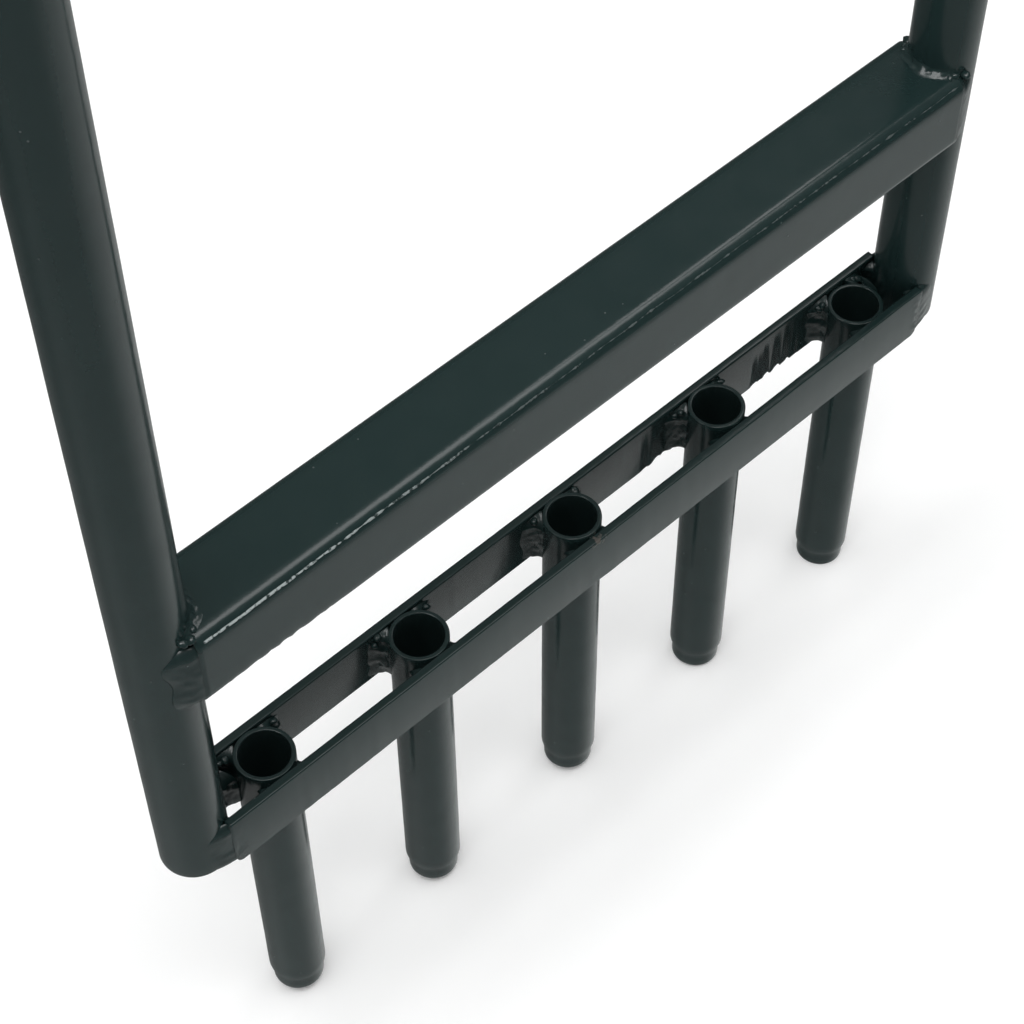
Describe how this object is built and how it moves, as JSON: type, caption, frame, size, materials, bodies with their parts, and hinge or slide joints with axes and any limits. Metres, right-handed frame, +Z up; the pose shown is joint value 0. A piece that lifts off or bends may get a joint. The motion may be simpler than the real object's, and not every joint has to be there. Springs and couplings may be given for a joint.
{
  "type": "lawn aerator fork",
  "caption": "Upright hand tool that cores a lawn: a steel hoop frame with a foam grip, a foot bar, and a row of hollow tines welded between flat strips.",
  "frame": {"origin": "ground level under the middle of the frame, at the height of the longest tine's tip", "axes": "+X along the foot bar to the right, +Y from front to rear, +Z up from the tines to the grip"},
  "size_m": [0.336, 0.032, 0.93],
  "materials": {
    "painted_steel": "gloss",
    "painted_weld": "gloss",
    "grip_foam": "matte"
  },
  "bodies": {
    "root": {"frame_hoop": "painted_steel", "foot_bar": "painted_steel", "front_strip": "painted_steel", "rear_strip": "painted_steel", "tine_1": "painted_steel", "tine_2": "painted_steel", "tine_3": "painted_steel", "tine_4": "painted_steel", "tine_5": "painted_steel", "tine_welds_1": "painted_weld", "tine_welds_2": "painted_weld", "tine_welds_3": "painted_weld", "tine_welds_4": "painted_weld", "tine_welds_5": "painted_weld", "foot_bar_weld_left": "painted_weld", "foot_bar_weld_right": "painted_weld", "front_strip_weld_left": "painted_weld", "front_strip_weld_right": "painted_weld", "rear_strip_weld_left": "painted_weld", "rear_strip_weld_right": "painted_weld", "handle_grip": "grip_foam"}
  },
  "joints": []
}
